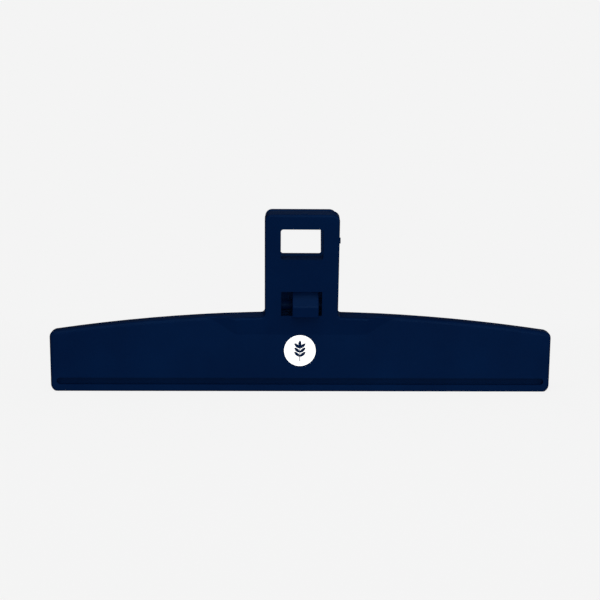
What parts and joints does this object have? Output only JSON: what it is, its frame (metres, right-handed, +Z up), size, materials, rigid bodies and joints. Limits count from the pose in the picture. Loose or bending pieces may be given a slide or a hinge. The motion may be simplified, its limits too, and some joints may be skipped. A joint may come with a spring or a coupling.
{
  "type": "bag clip",
  "caption": "Wide moulded bag clip: two hinged jaws with grip ridge, thumb levers with a hanging hole, and a C-shaped band spring.",
  "frame": {"origin": "middle of the bottom edges of the closed lips, on which the clip stands", "axes": "+X along the jaws, +Y from the front half to the back half, +Z up along the thumb levers"},
  "size_m": [0.2032, 0.0384, 0.0737],
  "materials": {
    "navy_moulding": "fine satin moulded texture",
    "navy_spring": "smooth extruded band",
    "white_print": "thin pad-printed ink"
  },
  "bodies": {
    "back": {"back_half": "navy_moulding", "band_spring": "navy_spring"},
    "front": {"front_half": "navy_moulding", "imprint_disc": "white_print"}
  },
  "joints": [
    {"name": "jaw_hinge", "type": "hinge", "parent": "back", "child": "front", "pos_m": [0, 0, 0.0352], "axis": [-1, 0, 0], "range_deg": [0, 36], "stiffness_Nm_per_rad": 0.45, "springref_deg": -15.47, "deforming": ["band_spring"]}
  ]
}
